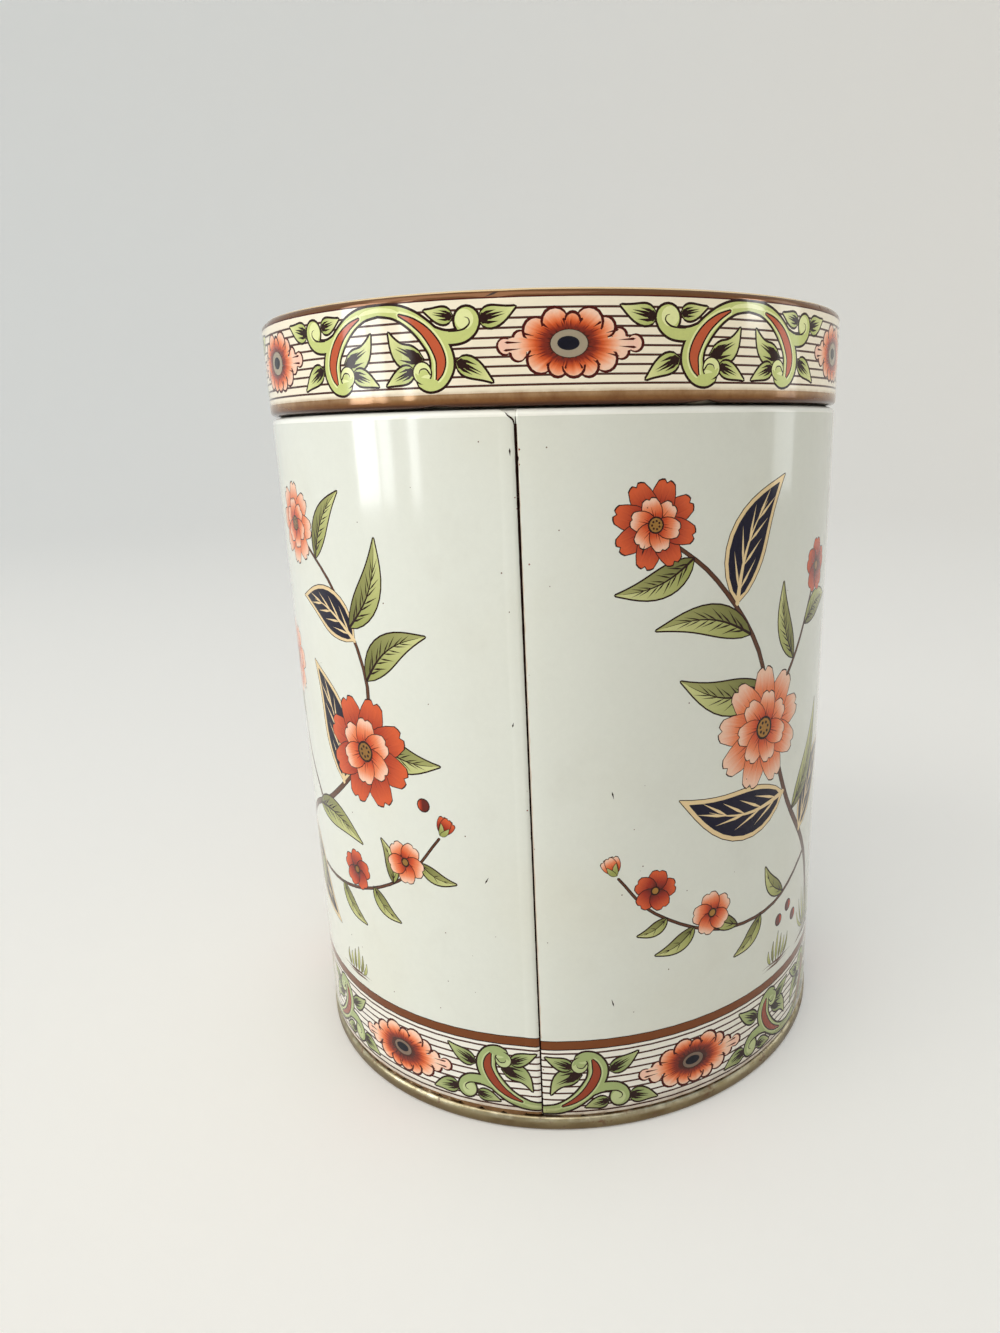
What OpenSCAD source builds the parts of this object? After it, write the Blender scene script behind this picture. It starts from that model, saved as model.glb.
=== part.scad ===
// Round tea tin of folded tinplate: a wall with a locked side seam, a base held
// by a double seam and a slip lid. Millimetres, +Z up, seam towards -Y.

/* [Tin] */
// Outside diameter of the straight wall
body_d = 100; // [60:1:160]
// Height over everything with the lid on
overall_h = 130; // [80:1:220]
// Thickness of the tinplate
sheet_t = 0.28; // [0.2:0.01:0.4]

/* [Lid] */
// Height of the lid
lid_h = 14.4; // [10:0.1:30]
// How far the lid stands out beyond the wall
lid_over = 0.1; // [0:0.05:0.5]
// Outside bend radius of the lid's top edge
lid_edge_r = 1.1; // [0.8:0.1:3]
// Width of the flat rim round the lid's top
lid_rim_w = 2.4; // [2:0.1:6]
// Drop from that rim to the top panel
lid_drop = 0.8; // [0.6:0.1:1.6]
// Diameter of the curl along the lid's lower edge
lid_curl_d = 1.5; // [1.1:0.1:2.2]
// Turn of that curl in degrees
lid_curl_turn = 270; // [180:15:300]

/* [Mouth] */
// Diameter of the curl round the mouth
mouth_curl_d = 1.5; // [1.1:0.1:2]
// Turn of that curl in degrees
mouth_curl_turn = 285; // [180:15:300]

/* [Side seam] */
// Width of the lock, from the fold to the far hook
lock_w = 3.4; // [2.4:0.1:6]
// Width of the cut corner at the top of the seam
notch_w = 1.8; // [0.8:0.1:2.2]
// Height of that cut corner
notch_h = 1.6; // [0.8:0.1:4]

/* [Base] */
// Height of the folded rim
rim_h = 3.0; // [2.6:0.1:4]
// How far the wall steps in above that rim, which so lies nearly flush
foot_in = 0.8; // [0.4:0.05:1]
// Depth of the base panel above the rim's foot
base_recess = 3.4; // [2.6:0.1:8]
// Bend radius from the panel to the rim
base_bend_r = 0.9; // [0.5:0.1:1.6]
// Bend radius at the foot of the rim
foot_bend_r = 0.4; // [0.3:0.05:0.5]
// Diameter of the raised middle of the panel
base_pad_d = 80; // [30:1:90]
// Height of that raised middle
base_pad_h = 0.7; // [0.6:0.1:1.2]

/* [Clearances] */
// Between the layers of every fold
fold_gap = 0.05; // [0.02:0.01:0.1]
// Between the lid's curl and the neck
lid_fit = 0.3; // [0.1:0.05:0.6]
// Between the lid and the mouth curl under it
lid_seat = 0.2; // [0.05:0.05:0.5]
// Between the lid's lower edge and the shoulder
lid_gap = 0.3; // [0.2:0.1:2]
// Between the lock's ends and the bends above and below it
lock_clear = 0.6; // [0.3:0.1:2]

/* [Hidden] */
$fn = 192;
t = sheet_t;
pitch = t + fold_gap;                       // from one folded layer to the next
wall_r = body_d / 2;                        // outside of the wall
wall_mid = wall_r - t / 2;
lid_r = wall_r + lid_over;                  // outside of the lid
lid_z = overall_h - lid_h;                  // lower edge of the lid
lid_bend = (lid_curl_d - t) / 2;
rim_out = lid_r - lid_edge_r;               // flat rim of the lid's top, outer and inner edge
rim_in = rim_out - lid_rim_w;
rim_z = overall_h - t / 2;
top_z = rim_z - lid_drop;
neck_r = lid_r - lid_curl_d - lid_fit;      // outside of the neck
neck_mid = neck_r - t / 2;
step_r = (wall_r - neck_r) / 2;             // both bends of the shoulder
shoulder_z = lid_z - lid_gap;               // outside of the shoulder, half way in
wall_top = shoulder_z - t / 2 - step_r;
mouth_z = overall_h - t - lid_seat;         // top of the mouth curl
mouth_bend = (mouth_curl_d - t) / 2;
curl_z = mouth_z - mouth_curl_d / 2;
foot_mid = wall_mid - foot_in;              // wall below the step at the foot
chuck_mid = foot_mid - pitch;               // base wall inside the body wall
cover_mid = foot_mid + pitch;               // hook of the base
hook_mid = foot_mid + 2 * pitch;            // hook of the body
rim_mid = foot_mid + 3 * pitch;             // outer face of the folded rim
hook_z = t + fold_gap + t / 2 + pitch;      // centre of the body's foot bend
rim_bend_z = rim_h - t / 2 - pitch;         // centre of the base's rim bend
foot_bend = foot_in / 2;                    // both bends from the foot out to the wall
foot_top = rim_h + 2 * fold_gap + t / 2 - foot_bend;   // they start here, just above the rim
foot_z = t / 2 + foot_bend_r;
panel_z = base_recess + t / 2;
pad_bend = base_pad_h / 2;
pad_r = base_pad_d / 2 - pad_bend;
pad_z = panel_z + base_pad_h;
lock_z0 = max(base_recess + t, foot_top + foot_in) + lock_clear;
lock_z1 = wall_top - lock_clear;
lock_r = wall_mid - pitch;                  // centres of the folds at the seam
fold_y = lock_w / 2;                        // where the left edge turns back
fold_a = asin(fold_y / lock_r);
fold_x = lock_r * cos(fold_a);
jog_y = fold_y + 3 * pitch;                 // where the right edge steps in
jog_a = asin(jog_y / lock_r);
jog_x = lock_r * cos(jog_a);
hook_y = pitch + t / 2 - lock_w / 2;        // where the right edge turns back
seam_a = -90 - (fold_a + jog_a) / 2;        // turns the seam line to -Y
ease = 0.01;                                // each strip of the lock is this much inside the last
lap = 0.03;                                 // and runs this far into it
lap_a = 6;

// straight strip of sheet between two points of its middle line
module leg(a, b, thin = 0, over = 0) {
    d = (b - a) / norm(b - a);
    n = [-d[1], d[0]] * (t / 2 - thin);
    e = d * over;
    polygon([a - e - n, b + e - n, b + e + n, a - e + n]);
}

// fan that keeps the angles from a0 to a1
module fan(len, a0, a1) {
    steps = ceil((a1 - a0) / 40);
    polygon(concat([[0, 0]], [for (i = [0 : steps])
        let (a = a0 + (a1 - a0) * i / steps) len * [cos(a), sin(a)]]));
}

// strip of sheet bent about a centre, r to its middle line
module bend(c, r, a0, a1, thin = 0) {
    translate(c) intersection() {
        difference() {
            circle(r + t / 2 - thin);
            circle(r - t / 2 + thin);
        }
        fan(2 * (r + t), a0, a1);
    }
}

module lock_leg(a, b) leg(a, b, 2 * ease, lap);

// lock in plan: the left edge folds over, the right edge steps in and hooks into it
module lock_plan() {
    bend([fold_x, fold_y], pitch, fold_a - lap_a, 180, ease);
    lock_leg([fold_x - pitch, fold_y], [fold_x - pitch, hook_y]);
    bend([jog_x, jog_y], pitch, -90, jog_a + lap_a, ease);
    lock_leg([jog_x, jog_y - pitch], [fold_x - pitch, jog_y - pitch]);
    bend([fold_x - pitch, jog_y - 2 * pitch], pitch, 90, 180, ease);
    lock_leg([fold_x - 2 * pitch, jog_y - 2 * pitch], [fold_x - 2 * pitch, hook_y]);
    bend([fold_x - pitch, hook_y], pitch, 180, 360, ease);
    lock_leg([fold_x, hook_y], [fold_x, fold_y]);
}

// corner cut off the folded edge at the top of the seam
module notch() {
    side = fold_y + pitch + t / 2 + fold_gap / 2;
    translate([fold_x + pitch / 2, 0, lock_z1 - fold_gap]) rotate([90, 0, 90])
        linear_extrude(pitch + t) polygon([[side, 0], [side - notch_w, 0], [side, -notch_h]]);
}

// wall from the hook in the base's seam to the curl round the mouth
module wall_profile() {
    leg([hook_mid, rim_bend_z], [hook_mid, hook_z]);
    bend([cover_mid, hook_z], pitch, 180, 360);
    leg([foot_mid, hook_z], [foot_mid, foot_top]);
    bend([foot_mid + foot_bend, foot_top], foot_bend, 90, 180);
    bend([wall_mid - foot_bend, foot_top + foot_in], foot_bend, 270, 360);
    leg([wall_mid, foot_top + foot_in], [wall_mid, wall_top]);
    bend([wall_mid - step_r, wall_top], step_r, 0, 90);
    bend([wall_mid - step_r, wall_top + 2 * step_r], step_r, 180, 270);
    leg([neck_mid, wall_top + 2 * step_r], [neck_mid, curl_z]);
    bend([neck_mid - mouth_bend, curl_z], mouth_bend, 0, mouth_curl_turn);
}

module body_wall() color([0.84, 0.86, 0.81]) difference() {
    union() {
        difference() {
            rotate_extrude() wall_profile();
            rotate(seam_a) translate([0, 0, lock_z0])
                linear_extrude(lock_z1 - lock_z0) fan(1.1 * wall_r, fold_a, jog_a);
        }
        rotate(seam_a) translate([0, 0, lock_z0 + fold_gap])
            linear_extrude(lock_z1 - lock_z0 - 2 * fold_gap) lock_plan();
    }
    rotate(seam_a) notch();
}

// panel with a raised middle, and the wall that wraps the foot of the tin
module base_plate() color([0.62, 0.58, 0.52]) rotate_extrude() {
    leg([0, pad_z], [pad_r, pad_z]);
    bend([pad_r, pad_z - pad_bend], pad_bend, 0, 90);
    bend([pad_r + base_pad_h, pad_z - pad_bend], pad_bend, 180, 270);
    leg([pad_r + base_pad_h, panel_z], [chuck_mid - base_bend_r, panel_z]);
    bend([chuck_mid - base_bend_r, panel_z - base_bend_r], base_bend_r, 0, 90);
    leg([chuck_mid, panel_z - base_bend_r], [chuck_mid, foot_z]);
    bend([chuck_mid + foot_bend_r, foot_z], foot_bend_r, 180, 270);
    leg([chuck_mid + foot_bend_r, t / 2], [rim_mid - foot_bend_r, t / 2]);
    bend([rim_mid - foot_bend_r, foot_z], foot_bend_r, 270, 360);
    leg([rim_mid, foot_z], [rim_mid, rim_bend_z]);
    bend([hook_mid, rim_bend_z], pitch, 0, 180);
    leg([cover_mid, rim_bend_z], [cover_mid, hook_z]);
}

// sunk top panel, rim, skirt and the curl along its lower edge
module lid_shell() color([0.92, 0.86, 0.78]) rotate_extrude() {
    leg([0, top_z], [rim_in - lid_drop, top_z]);
    bend([rim_in - lid_drop, top_z + lid_drop / 2], lid_drop / 2, 270, 360);
    bend([rim_in, rim_z - lid_drop / 2], lid_drop / 2, 90, 180);
    leg([rim_in, rim_z], [rim_out, rim_z]);
    bend([rim_out, overall_h - lid_edge_r], lid_edge_r - t / 2, 0, 90);
    leg([lid_r - t / 2, overall_h - lid_edge_r], [lid_r - t / 2, lid_z + lid_curl_d / 2]);
    bend([lid_r - lid_curl_d / 2, lid_z + lid_curl_d / 2], lid_bend, 360 - lid_curl_turn, 360);
}

body_wall();
base_plate();
lid_shell();
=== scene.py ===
import math
import random
import bpy
import numpy as np
from mathutils import Matrix, Vector
from mathutils.geometry import delaunay_2d_cdt


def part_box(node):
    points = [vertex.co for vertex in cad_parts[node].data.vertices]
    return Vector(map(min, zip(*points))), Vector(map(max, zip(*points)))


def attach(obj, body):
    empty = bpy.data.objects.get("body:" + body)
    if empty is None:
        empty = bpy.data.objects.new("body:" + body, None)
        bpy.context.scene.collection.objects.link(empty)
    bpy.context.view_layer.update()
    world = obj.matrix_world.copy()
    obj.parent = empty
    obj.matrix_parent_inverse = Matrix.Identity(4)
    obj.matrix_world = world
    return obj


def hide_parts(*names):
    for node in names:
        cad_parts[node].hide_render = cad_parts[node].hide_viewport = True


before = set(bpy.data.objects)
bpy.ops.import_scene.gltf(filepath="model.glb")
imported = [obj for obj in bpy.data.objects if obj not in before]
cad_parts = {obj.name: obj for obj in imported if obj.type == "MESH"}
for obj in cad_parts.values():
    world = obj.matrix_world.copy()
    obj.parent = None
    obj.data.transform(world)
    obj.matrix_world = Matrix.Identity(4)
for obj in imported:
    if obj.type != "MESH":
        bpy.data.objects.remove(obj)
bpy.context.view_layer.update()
mm = 0.001
chance = random.Random(11)
lidHigh = [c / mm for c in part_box("lid_shell")[1]]
topZ = lidHigh[2]  # height over everything
lidR = lidHigh[0]  # outside of the lid
lidOver = 0.1  # how far the lid stands out beyond the wall
wallR = lidR - lidOver  # outside of the straight wall
sheet = 0.28  # thickness of the tinplate
foldGap = 0.05  # between the layers of a fold
pitch = sheet + foldGap  # from one folded layer to the next
turn = 2 * math.pi * wallR  # once round the wall; x runs from the seam, to the right
print("frame loaded, tin", round(2 * wallR, 2), "mm across and", round(topZ, 2), "mm high")


# drawing in millimetres: x round the tin, z up; each shape is its ink, its outline and its own map
art = []


def through(points, perSpan=5):  # smooth line through points of x, z and width
    p = np.array(points, float)
    q = np.vstack([2 * p[0] - p[1], p, 2 * p[-1] - p[-2]])
    t = np.linspace(0, 1, perSpan, endpoint=False)[:, None]
    spans = []
    for a, b, c, d in zip(q, q[1:], q[2:], q[3:]):
        spans.append(0.5 * (2 * b + (c - a) * t + (2 * a - 5 * b + 4 * c - d) * t ** 2
                            + (3 * b - a - 3 * c + d) * t ** 3))
    return np.vstack(spans + [p[-1:]])


def paint(ink, pts, origin=(0, 0), along=(1, 0)):
    (ox, oz), (ax, az) = origin, along
    own = np.array([[ax, az, -(ax * ox + az * oz)], [-az, ax, az * ox - ax * oz]])
    art.append((ink, np.array(pts, float), own / (ax * ax + az * az)))


def sideways(xz):  # unit normals along a line
    d = np.gradient(xz, axis=0)
    return np.stack([-d[:, 1], d[:, 0]], 1) / (np.linalg.norm(d, axis=1)[:, None] + 1e-9)


def ribbon(line, grow=0.0):  # outline of a stroke, as wide as its third column
    xz = line[:, :2]
    w = np.maximum(line[:, 2] / 2, 0.0) + grow
    n = sideways(xz)
    d = np.stack([n[:, 1], -n[:, 0]], 1)
    n = n * w[:, None]
    return np.vstack([xz[:1] - d[:1] * w[0] * 0.8, xz + n, xz[-1:] + d[-1:] * w[-1] * 0.8, (xz - n)[::-1]])


def stroke(ink, points, grow=0.0, perSpan=5):
    line = through(points, perSpan)
    paint(ink, ribbon(line, grow), line[0, :2], line[-1, :2] - line[0, :2])


def spike(ink, a, b, wide, belly=0.35):  # thin tapered stroke
    a, b = np.array(a, float), np.array(b, float)
    d = b - a
    n = np.array([-d[1], d[0]]) / (math.hypot(*d) + 1e-9) * wide / 2
    mid = a + d * belly
    paint(ink, [a, mid - n, b, mid + n], a, d)


def ringOf(c, r, squash=1.0, n=16):
    a = np.linspace(0, 2 * math.pi, n, endpoint=False)
    return np.stack([c[0] + r * np.cos(a), c[1] + r * squash * np.sin(a)], 1)


def disc(ink, c, r, squash=1.0, n=16):
    paint(ink, ringOf(c, r, squash, n), c, (r, 0))


def placed(draw, dx=0.0, dz=0.0, sx=1.0, sz=1.0):  # draws, then moves, mirrors or stretches what was drawn
    first = len(art)
    draw()
    s, d = np.array([sx, sz]), np.array([dx, dz])
    for i in range(first, len(art)):
        ink, pts, own = art[i]
        lin = own[:, :2] / s
        art[i] = (ink, pts * s + d, np.column_stack([lin, own[:, 2] - lin @ d]))


def blade(base, tip, width, bend=0.0, full=0.8, n=10, point=0.9):
    a, b = np.array(base, float), np.array(tip, float)
    d = b - a
    t = np.linspace(0, 1, n)
    xz = a + d * t[:, None] + np.array([-d[1], d[0]]) * (bend * np.sin(math.pi * t))[:, None]
    return np.column_stack([xz, width * np.sin(math.pi * t ** full) ** point])


def leafFrame(base, tip, *form):  # root and way of a leaf, its middle line with widths, and the normals
    a, d = np.array(base, float), np.array(tip, float) - np.array(base, float)
    line = blade(base, tip, *form)
    return a, d, line, sideways(line[:, :2])


def ruled(heights, wide, x0, x1, ink="ruling"):  # level bands, in short lengths so that they bend round the tin
    x = np.linspace(x0, x1, round((x1 - x0) / 3.9) + 1)
    for z in heights:
        low, high = np.full(len(x), z - wide / 2), np.full(len(x), z + wide / 2)
        paint(ink, np.vstack([np.stack([x, low], 1), np.stack([x, high], 1)[::-1]]))


# border ornament: arched scrolls between flat flowers
border = dict(lobes=((-8.2, -0.2, 0.9), (8.6, 0.0, 0.95), (-6.5, -1.0, 0.95), (6.7, -0.9, 0.95), (-6.2, 0.7, 0.85),
                     (6.5, 0.9, 0.85), (-4.2, 1.6, 1.5), (4.7, 1.95, 1.15), (-3.7, -1.9, 1.6), (4.6, -1.9, 1.45),
                     (2.6, 2.55, 1.65), (2.4, -2.75, 1.2), (-1.7, 2.6, 1.6), (-1.5, -2.75, 1.15), (0.5, -2.6, 1.35),
                     (0.5, 2.75, 0.85)),  # petal ends of the flower: middle and radius
              flower=(6.9, 4.3), heart=(5.2, 2.8), rays=42)


def scrollLeaf(base, tip, width, bend):  # pointed leaf with a dark comb at its base
    a, d, line, n = leafFrame(base, tip, width, bend, 0.62, 11, 1.1)
    paint("line", ribbon(line, 0.32), a, d)
    paint("leaf", ribbon(line), a, d)
    wedge = line[:4].copy()
    wedge[:, 2] *= (1.0, 0.85, 0.5, 0.05)
    paint("line", ribbon(wedge), a, d)
    for s, i in ((-0.8, 5), (-0.3, 7), (0.25, 7), (0.75, 5)):
        spike("line", line[1, :2] + n[1] * s * line[1, 2] * 0.44, line[i, :2] + n[i] * s * line[i, 2] * 0.42,
              0.16 * width, 0.35)


def rosette(eye=2.4, ring="eyeRing"):  # border flower about the origin, seen flat on
    rx, rz = border["flower"]
    flat = np.array([[1 / rx, 0, 0], [0, 1 / rz, 0]])
    for x, z, r in border["lobes"]:
        out = 1 + 0.16 / math.hypot(x, z)  # the outline is heaviest on its outer side
        art.append(("petalLine", ringOf((x * out, z * out), r + 0.24), flat))
        art.append(("rosette", ringOf((x, z), r), flat))
    for x in (-6.6, 6.6):
        art.append(("rosette", ringOf((x, -0.1), 2.0, 0.5), flat))
        art.append(("petalTip", ringOf((x * 1.27, -0.08), 0.8, n=12), flat))
    wide, high = border["heart"]
    art.append(("rosette", ringOf((0, 0), wide, high / wide, 28), flat))
    ends = sorted(border["lobes"], key=lambda p: math.atan2(p[1], p[0]))
    for (x0, z0, r0), (x1, z1, r1) in zip(ends, ends[1:] + ends[:1]):  # creases between the petals
        x, z = (x0 + x1) / 2, (z0 + z1) / 2
        spike("petalLine", (x * 1.16, z * 1.16), (x * 0.84, z * 0.84), 0.32, 0.15)
    at = lambda s, a: (rx * s * math.cos(a), rz * s * math.sin(a))
    for k in range(border["rays"]):  # fine rays round the eye
        a = 2 * math.pi * k / border["rays"] + 0.03 * math.sin(k * 9.7)
        reach = 0.62 + 0.09 * math.sin(k * 5.3) + 0.06 * math.sin(k * 2.1)
        spike("rust", at(0.36, a), at(reach, a), 0.27, 0.3)
    disc("line", (0, 0), eye + 0.12, 0.70, 24)
    disc(ring, (0, 0), eye, 0.70, 24)
    disc("eye", (-0.1, 0.05), min(eye * 0.7, 1.45), 0.6, 20)


def scrollLimb():  # right half of the arch with its branch and leaves, apex at the origin
    for base, tip, width, bend in (((11.1, -1.9), (7.1, -1.0), 1.95, 0.04), ((14.5, -2.3), (19.4, -1.0), 2.5, -0.06),
                                   ((11.2, -7.4), (16.1, -10.05), 2.4, 0.05), ((6.6, -6.9), (1.5, -3.4), 2.9, 0.2),
                                   ((5.2, -8.3), (0.7, -10.1), 2.1, -0.03)):
        scrollLeaf(base, tip, width, bend)
    branch = [(7.9, -3.6, 1.2), (9.6, -4.3, 1.45), (11.0, -4.4, 1.5), (12.4, -4.1, 1.6), (13.5, -3.4, 1.4),
              (14.1, -2.6, 0.9)]
    limb = [(0, -0.59, 1.1), (2.1, -0.77, 1.35), (3.6, -1.2, 1.65), (5.1, -1.95, 1.95), (6.5, -3.0, 2.25),
            (7.8, -4.3, 2.6), (8.85, -5.65, 2.95), (9.3, -7.05, 3.1), (9.2, -8.2, 3.0), (8.5, -9.5, 2.4),
            (7.2, -10.1, 1.7), (5.9, -9.8, 1.0)]
    inlay = [(3.3, -1.3, 0.05), (5.2, -2.15, 0.6), (7.0, -3.45, 1.0), (8.35, -5.15, 1.25), (9.1, -7.0, 1.2),
             (8.9, -8.5, 0.85), (8.4, -9.6, 0.05)]
    outer, inner = (12.95, -2.45), (6.3, -8.6)  # middles of the two rolls
    for ink, roll, grow in (("line", 1.96, 0.35), ("scroll", 1.62, 0)):
        disc(ink, outer, roll, n=20)
        stroke(ink, branch, grow, 4)
        stroke(ink, limb, grow, 4)
    disc("scrollPale", (outer[0] - 0.3, outer[1] + 0.2), 1.25)
    stroke("line", [(10.4, -3.7, 0.1), (11.6, -3.62, 0.2), (12.6, -3.4, 0.26), (13.3, -2.8, 0.2), (13.2, -2.2, 0.14),
                    (12.7, -2.0, 0.05)], perSpan=3)
    for ink, grow in (("scrollPale", 0.5), ("line", 0.22), ("inlay", 0)):
        stroke(ink, inlay, grow, 4)
    disc("line", inner, 1.5, n=20)
    disc("scrollPale", inner, 1.28, n=20)
    stroke("scroll", [(8.3, -10.0, 0.9), (7.0, -9.8, 0.95), (5.9, -9.45, 0.7), (5.3, -8.7, 0.25)], perSpan=3)
    stroke("scroll", [(5.7, -9.2, 0.3), (6.4, -8.6, 0.75), (7.2, -8.7, 0.3)], perSpan=3)
    stroke("line", [(7.5, -8.9, 0.22), (6.9, -8.15, 0.2), (6.1, -8.2, 0.16), (5.8, -8.7, 0.05)], perSpan=3)


def scrollPair():
    placed(scrollLimb, sx=-1)
    scrollLimb()
    stroke("scroll", [(-2.0, -0.76, 1.35), (0, -0.59, 1.1), (2.0, -0.76, 1.35)])  # closes the top of the arch
    stroke("scrollPale", [(-3.3, -1.0, 0.1), (-2.1, -0.7, 0.5), (0, -0.5, 0.55), (2.1, -0.7, 0.5), (3.3, -1.0, 0.1)])


# garden sprays for the wall
def petal(c, a, r, wide, ink, rays=3, rim=0.17):
    t = np.linspace(0, 1, 6)
    half = wide * np.sin(math.pi * (0.08 + 0.70 * t ** 0.9)) ** 0.8
    e = np.linspace(1, -1, 7)[1:-1]
    tip = np.stack([r * (1 + 0.10 * np.cos(e * math.pi / 2) - 0.1 * np.exp(-(e / 0.25) ** 2)), half[-1] * e], 1)
    q = np.vstack([np.stack([r * t, half], 1), tip, np.stack([r * t, -half], 1)[::-1]])
    ca, sa = math.cos(a), math.sin(a)
    q = q @ np.array([[ca, sa], [-sa, ca]]) + np.array(c)
    along = (r * ca, r * sa)
    mid = np.array(c) + np.array(along) * 0.5
    paint("line", mid + (q - mid) * (1 + rim * 2 / r), c, along)
    paint(ink, q, c, along)
    for k in range(rays):
        b = a + (k - (rays - 1) / 2) * 1.1 * wide / r / max(rays - 1, 1)
        reach = r * (0.78 if k % 2 else 0.58)
        spike("rust", (c[0] + 0.2 * r * math.cos(b), c[1] + 0.2 * r * math.sin(b)),
              (c[0] + reach * math.cos(b), c[1] + reach * math.sin(b)), 0.1 * wide)


def blossom(c, r, count, ink, turned, inner="petal"):  # round garden flower in two rows of petals
    for k in range(count):
        petal(c, turned + 2 * math.pi * k / count, r, 2.5 * r / count, ink, 5, 0.2)
    for k in range(count - 2):
        petal(c, turned + 0.3 + 2 * math.pi * k / (count - 2), r * 0.6, 1.5 * r / (count - 2), inner, 3, 0.16)
    disc("line", c, r * 0.21)
    disc("gold", c, r * 0.17, n=12)
    for k in range(7):
        a = turned + 2 * math.pi * k / 7
        disc("line", (c[0] + 0.1 * r * math.cos(a), c[1] + 0.1 * r * math.sin(a)), 0.03 * r, n=6)


def smallFlower(c, r, turned, ink):
    for k in range(5):
        petal(c, turned + 2 * math.pi * k / 5, r, 0.5 * r, ink, 1, 0.14)
    disc("line", c, r * 0.25, n=10)
    disc("gold", c, r * 0.17, n=10)


def bud(c, a, r, ink):
    for off in (0.35, -0.35, 0.0):
        petal(c, a + off, r, 0.34 * r, ink, 1, 0.14)
    ca, sa = math.cos(a), math.sin(a)
    at = lambda s, w: (c[0] + r * (s * ca - w * sa), c[1] + r * (s * sa + w * ca))
    for w in (-0.3, 0.3):
        sepal = blade(at(-0.2, 0), at(0.55, w), 0.3 * r, 0.1, n=7)
        paint("line", ribbon(sepal, 0.1))
        paint("olive", ribbon(sepal), c, (r * ca, r * sa))


def gardenLeaf(base, tip, width, bend=0.1, pairs=8):
    a, d, line, n = leafFrame(base, tip, width, bend, 0.74, 13, 1.05)
    xz, n = line[:, :2], n * line[:, 2:] / 2
    paint("line", ribbon(line, 0.26), a, d)
    paint("olive", ribbon(line), a, d)
    paint("oliveShade", np.vstack([xz, (xz - n)[::-1]]), a, d)
    rib = line[:-1].copy()
    rib[:, 2] = np.linspace(min(0.55, 0.10 * width), 0.05, len(rib))
    paint("line", ribbon(rib), a, d)
    for k in range(pairs):  # side veins, drawn forwards
        i = 1 + round(k * 7 / (pairs - 1))
        for s in (1, -1):
            spike("line", xz[i], xz[i + 2] + s * n[i + 2] * (0.86 if k % 2 else 0.6),
                  min(0.34, 0.075 * width) * (1 - 0.5 * k / pairs))


def navyLeaf(base, tip, width, bend=0.12):  # dark leaf with a gold edge and gold veins
    a, d, line, n = leafFrame(base, tip, width, bend, 0.74, 13, 1.05)
    xz, n = line[:, :2], n * line[:, 2:] / 2
    paint("line", ribbon(line, 0.16), a, d)
    paint("paleGold", ribbon(line), a, d)
    core = line[1:-1].copy()
    core[:, 2] = np.maximum(core[:, 2] - 0.16 * width, 0)
    paint("navy", ribbon(core), a, d)
    rib = line[:-3].copy()
    rib[:, 2] = np.linspace(0.10 * width, 0.04, len(rib))
    paint("paleGold", ribbon(rib), a, d)
    for i in (1, 3, 5, 7):
        for s in (1, -1):
            spike("paleGold", xz[i], xz[i + 3] + s * n[i + 3] * 0.6, 0.055 * width)


def branchLine(*points):
    thin = [(x, z, w * 0.72) for x, z, w in points]
    stroke("line", thin, 0.13)
    stroke("stem", thin)


def berries(*middles):
    for c in middles:
        disc("line", c, 1.2, n=14)
        disc("petalDeep", c, 1.0, n=14)


def grass(x, z, count, height, lean):
    for k in range(count):
        f = k / (count - 1) * 2 - 1
        h = height * (1 - 0.35 * abs(f)) * (0.8 + 0.3 * math.sin(k * 2.3) ** 2)
        root, tip = (x + f * 2.2, z), (x + f * height * 0.62 + lean * h, z + h)
        line = blade(root, tip, 0.7, -0.12 * f, 0.6, 6)
        paint("line", ribbon(line, 0.1))
        paint("oliveShade" if k % 2 else "olive", ribbon(line), root, (tip[0] - root[0], tip[1] - root[1]))
    for k in range(5):  # strokes of shaded ground
        f = k * 1.7
        spike("stem", (x - height * 0.55 - 2.0 * math.cos(f), z - 0.1 - 0.35 * k * height / 10),
              (x + height * 0.6 + 2.5 * math.sin(f), z - 0.1 - 0.35 * k * height / 10), 0.3, 0.5)


tallSpray = dict(  # rising spray, foot to the right
    branches=(((63, 21, 1.7), (58, 37, 1.5), (48, 51, 1.25), (42, 65, 1.1), (38, 79, 0.9), (29, 91, 0.7), (20, 98, 0.45)),
              ((41, 68, 0.8), (49, 77, 0.65), (55, 87, 0.45)),
              ((57.8, 37.8, 0.8), (45, 32.5, 0.65), (31, 33, 0.5), (19, 39, 0.4), (13, 46, 0.3))),
    navyLeaves=(((46.5, 53), (23, 57.5), 9.0), ((33, 87), (43, 105.5), 8.0), ((54, 43), (69, 57), 8.6)),
    leaves=(((50, 48.5), (60.5, 66), 5.0, -0.12), ((40, 73), (23, 76.5), 5.6, 0.12), ((36, 82), (19, 84.5), 4.6, -0.12),
            ((25, 94.5), (13, 90), 4.0, 0.1), ((52, 81), (64, 84), 4.2, 0.12), ((48, 76), (44, 89), 3.8, 0.1)),
    smallLeaves=(((48, 33.6), (42, 40.5), 2.8), ((41, 32), (34.5, 26.5), 2.8), ((35, 32.5), (28, 39), 2.6),
                 ((26, 35), (19, 31.5), 2.6), ((21, 37.8), (16, 35.5), 2.0)),
    blossoms=(((40, 66), 9.4, 9, "petal", 0.2), ((19, 99.5), 5.8, 8, "petalDeep", 0.5)),
    flowers=(((56.5, 90), 4.2, 0.3, "petalDeep"), ((29.5, 36.5), 3.5, 0.5, "petal"), ((19, 43), 3.2, 0.1, "petalDeep")),
    bud=((12.6, 47), 2.0, 2.6, "petal"),
    berries=((47, 28.2), (50.5, 29.6), (53, 26.6)),
    grass=((62, 20.5, 9, 10, -0.1), (47, 20.3, 6, 5.5, 0.15)))
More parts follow.
